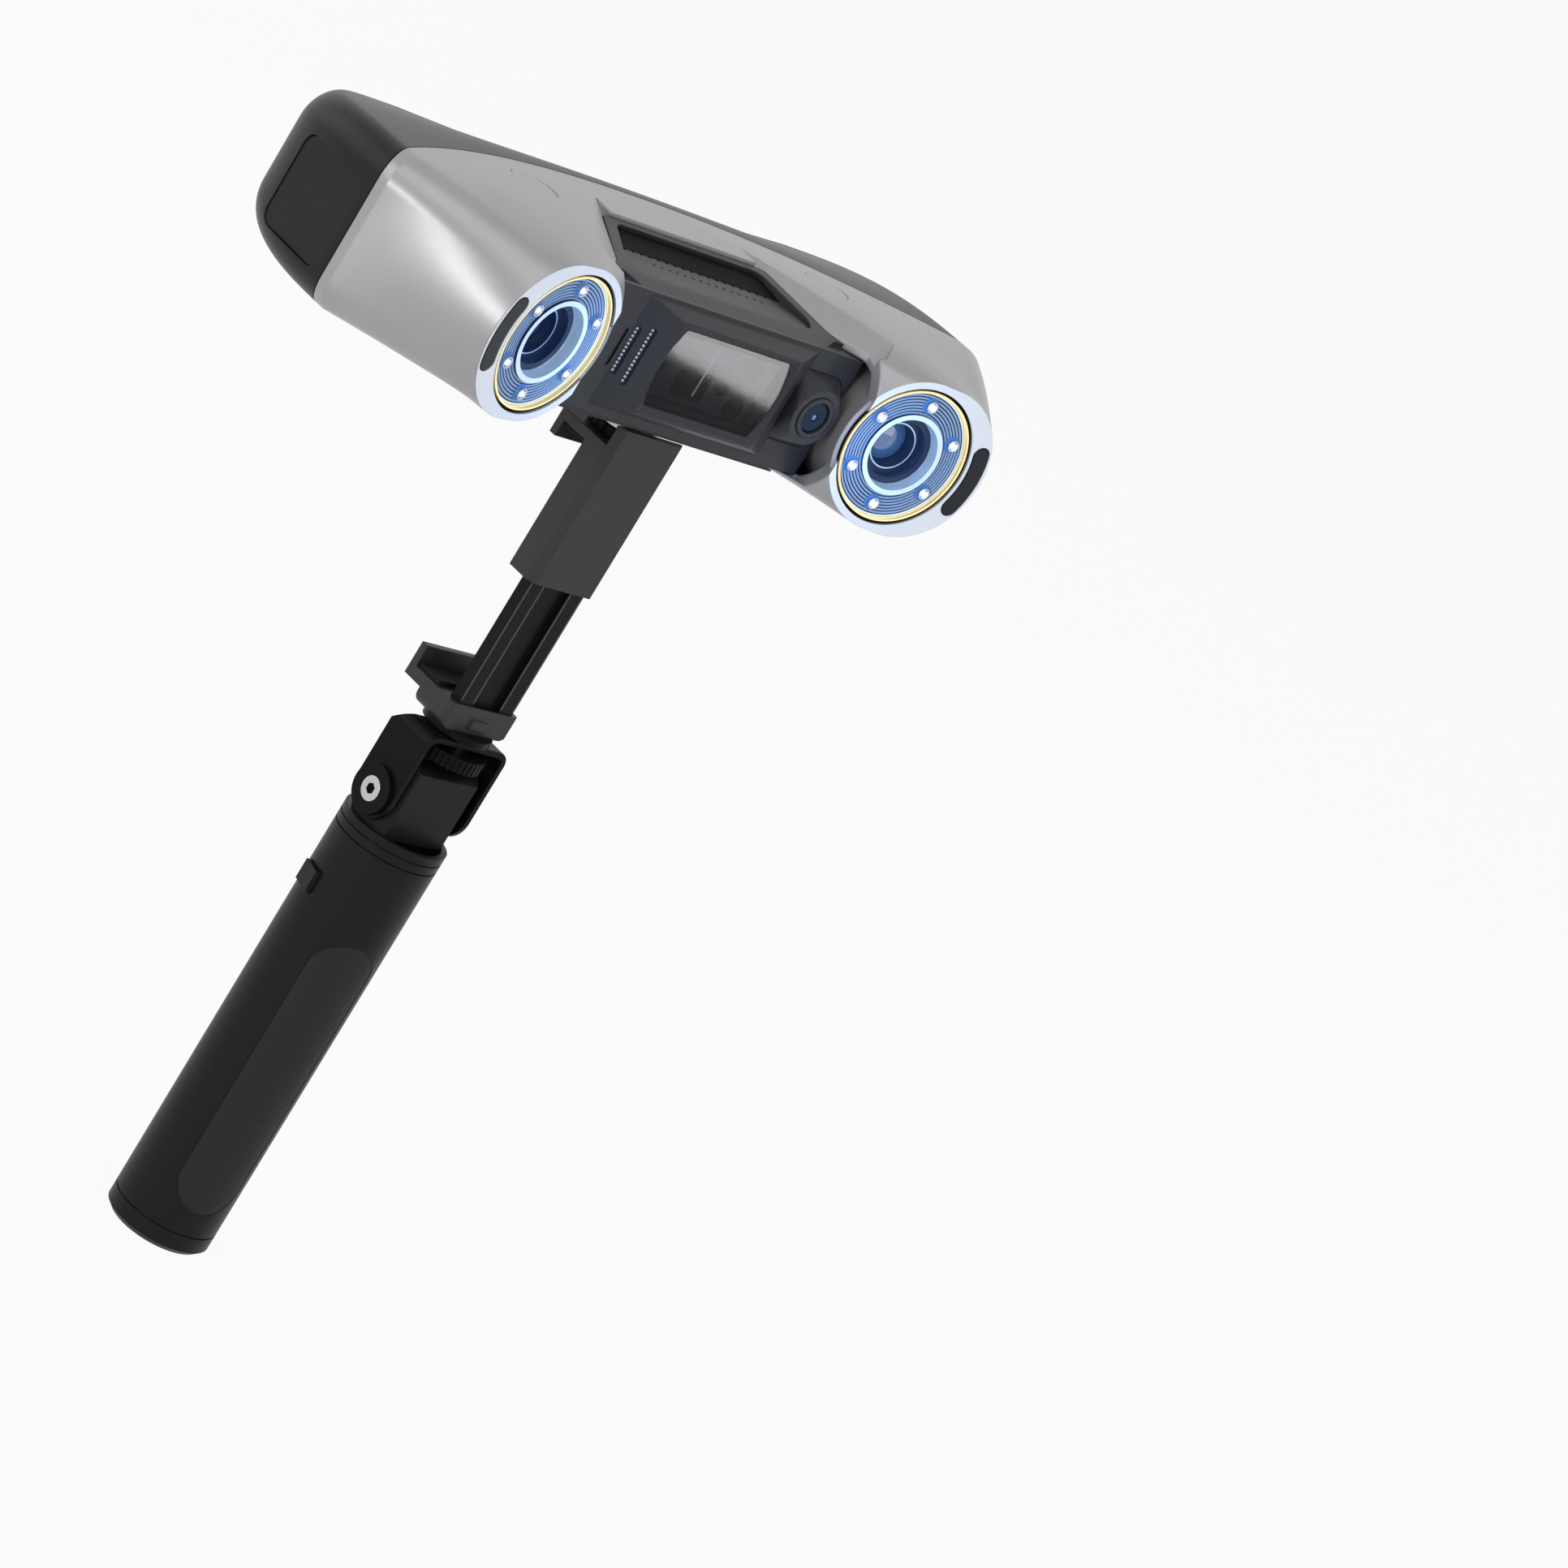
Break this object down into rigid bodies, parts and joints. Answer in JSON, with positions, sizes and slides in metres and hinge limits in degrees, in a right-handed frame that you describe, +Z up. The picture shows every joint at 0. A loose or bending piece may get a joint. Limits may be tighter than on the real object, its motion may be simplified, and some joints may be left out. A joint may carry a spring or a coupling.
{
  "type": "handheld three-d scanner",
  "caption": "Handheld three-d scanner: a wide head with toed-in lens pods and a projector window, on a phone clamp, a tilting yoke and a grip handle with a tripod socket.",
  "frame": {"origin": "centre of the handle's base, at the mouth of its tripod socket", "axes": "+Z up along the handle, the lenses look along -Y, +X is the scanner's own left side"},
  "size_m": [0.2448, 0.0923, 0.3177],
  "materials": {
    "silver_shell": "satin silver paint",
    "black_shell": "fine matte texture",
    "fascia_black": "satin",
    "dark_window": "polished",
    "module_black": "matte",
    "lens_glass": "coated",
    "gold_trim": "polished",
    "blue_plate": "lit from behind",
    "white_lamp": "clear",
    "board_green": "solder mask",
    "bare_aluminium": "milled",
    "steel": "turned",
    "bright_bolt": "polished",
    "brass": "turned",
    "black_metal": "satin black",
    "rubber": "soft",
    "grip_black": "satin",
    "cell_wrap": "shrink film"
  },
  "bodies": {
    "handle": {"grip_tube": "grip_black", "grip_pad": "rubber", "bottom_cap": "grip_black", "base_insert": "brass", "battery_cell": "cell_wrap", "charge_board": "board_green", "collar": "grip_black", "neck_block": "grip_black"},
    "power_key": {"power_button": "grip_black"},
    "yoke": {"yoke_bracket": "black_metal", "tilt_bolt": "bright_bolt", "bolt_boss": "black_metal", "tilt_nut": "black_metal"},
    "thumb_wheel": {"yoke_wheel": "black_metal"},
    "holder": {"lower_jaw": "fascia_black", "lower_pad": "rubber", "clamp_rail": "fascia_black", "swivel_washer": "black_metal"},
    "upper_clamp": {"upper_jaw": "fascia_black", "upper_pad": "rubber", "rail_spring": "steel", "head_stud": "steel"},
    "lock_ring": {"lock_wheel": "black_metal"},
    "scan_key": {"scan_button": "fascia_black"},
    "fan": {"fan_rotor": "module_black"},
    "head": {"front_shell": "silver_shell", "rear_shell": "black_shell", "center_fascia": "fascia_black", "perforated_panel": "module_black", "projector_window": "dark_window", "line_laser": "module_black", "window_lenses": "module_black", "camera_housing": "fascia_black", "camera_ring": "module_black", "camera_lens": "lens_glass", "left_carrier_ring": "module_black", "right_carrier_ring": "module_black", "left_trim_ring": "gold_trim", "right_trim_ring": "gold_trim", "left_light_plate": "blue_plate", "right_light_plate": "blue_plate", "lamps": "white_lamp", "status_windows": "module_black", "sensor_boards": "board_green", "left_lens_barrel": "black_metal", "right_lens_barrel": "black_metal", "left_lens": "lens_glass", "right_lens": "lens_glass", "screw_plugs": "silver_shell", "vent_grille": "black_shell", "end_panel": "black_shell", "optical_beam": "bare_aluminium", "main_board": "board_green", "heat_sink": "bare_aluminium", "fan_frame": "module_black", "data_socket": "steel", "switch_board": "board_green", "tripod_insert": "brass", "case_screws": "steel"}
  },
  "joints": [
    {"name": "power_press", "type": "slide", "parent": "handle", "child": "power_key", "axis": [0.9613, -0.2756, 0], "range_m": [0, 0.001], "stiffness_N_per_m": 800, "springref_m": -0.001},
    {"name": "yoke_tilt", "type": "hinge", "parent": "handle", "child": "yoke", "pos_m": [0, 0, 0.1465], "axis": [1, 0, 0], "range_deg": [-75, 75]},
    {"name": "thumb_turn", "type": "hinge", "parent": "yoke", "child": "thumb_wheel", "pos_m": [0, 0, 0.1627], "axis": [0, 0, 1], "continuous": true},
    {"name": "holder_swivel", "type": "hinge", "parent": "yoke", "child": "holder", "pos_m": [0, 0, 0.1718], "axis": [0, 0, 1], "continuous": true},
    {"name": "clamp_slide", "type": "slide", "parent": "holder", "child": "upper_clamp", "axis": [0, 0, 1], "range_m": [-0.016, 0.008]},
    {"name": "lock_turn", "type": "hinge", "parent": "upper_clamp", "child": "lock_ring", "pos_m": [0, 0.005, 0.2651], "axis": [0, 0, 1], "continuous": true},
    {"name": "head_swivel", "type": "hinge", "parent": "upper_clamp", "child": "head", "pos_m": [0, 0.005, 0.2702], "axis": [0, 0, 1], "continuous": true},
    {"name": "scan_press", "type": "slide", "parent": "head", "child": "scan_key", "axis": [0, -1, 0], "range_m": [0, 0.001], "stiffness_N_per_m": 800, "springref_m": -0.001},
    {"name": "fan_spin", "type": "hinge", "parent": "head", "child": "fan", "pos_m": [0.11501, 0.02787, 0.2917], "axis": [0.997, 0.0769, 0], "continuous": true}
  ]
}
